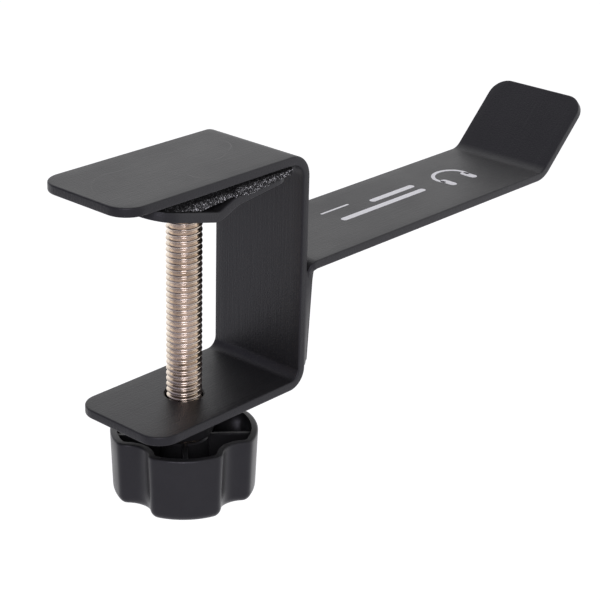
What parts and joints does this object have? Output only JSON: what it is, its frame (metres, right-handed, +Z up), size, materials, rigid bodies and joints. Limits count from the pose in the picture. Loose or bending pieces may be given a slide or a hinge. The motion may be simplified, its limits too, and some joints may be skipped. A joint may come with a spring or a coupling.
{
  "type": "headphone hook",
  "caption": "Desk-clamp headphone hook: bent steel bracket with a padded arm, a screw with a pressure plate and lobed knob, and a long flat hook with a raised lip.",
  "frame": {"origin": "on the underside of the arm pad, which rests on the desk top, on the clamp screw's axis", "axes": "+Z up along the clamp screw, +X from the clamp towards the hook's raised lip, +Y across the steel strip"},
  "size_m": [0.2418, 0.0476, 0.1172],
  "materials": {
    "powder_coat": "satin black powder coat with a fine grain",
    "nut_paint": "satin black powder coat",
    "pad_foam": "rough black cellular foam",
    "plate_paint": "satin black powder coat",
    "zinc": "zinc plated",
    "nickel": "bright nickel plated, warm tint",
    "knob_plastic": "satin moulded black plastic",
    "cap_plastic": "satin moulded black plastic"
  },
  "bodies": {
    "frame": {"clamp_bracket": "powder_coat", "hook_arm": "powder_coat", "flange_welds": "powder_coat", "weld_nut": "nut_paint", "nut_welds": "nut_paint", "arm_pad": "pad_foam"},
    "lift": {"thrust_washer": "zinc"},
    "spindle": {"clamp_screw": "nickel", "knob_body": "knob_plastic", "knob_cap": "cap_plastic"},
    "plate": {"pressure_plate": "plate_paint"}
  },
  "joints": [
    {"name": "plate_travel", "type": "slide", "parent": "frame", "child": "lift", "axis": [0, 0, 1], "range_m": [-0.066, 0], "deforming": ["arm_pad"]},
    {"name": "screw_turn", "type": "hinge", "parent": "lift", "child": "spindle", "pos_m": [0, 0, 0], "axis": [0, 0, 1], "range_deg": [-11880, 0]},
    {"name": "plate_swivel", "type": "hinge", "parent": "lift", "child": "plate", "pos_m": [0, 0, 0], "axis": [0, 0, 1], "continuous": true}
  ],
  "couplings": [
    {"joint": "screw_turn", "follows": "plate_travel", "rad_per_m": 3141.6}
  ]
}
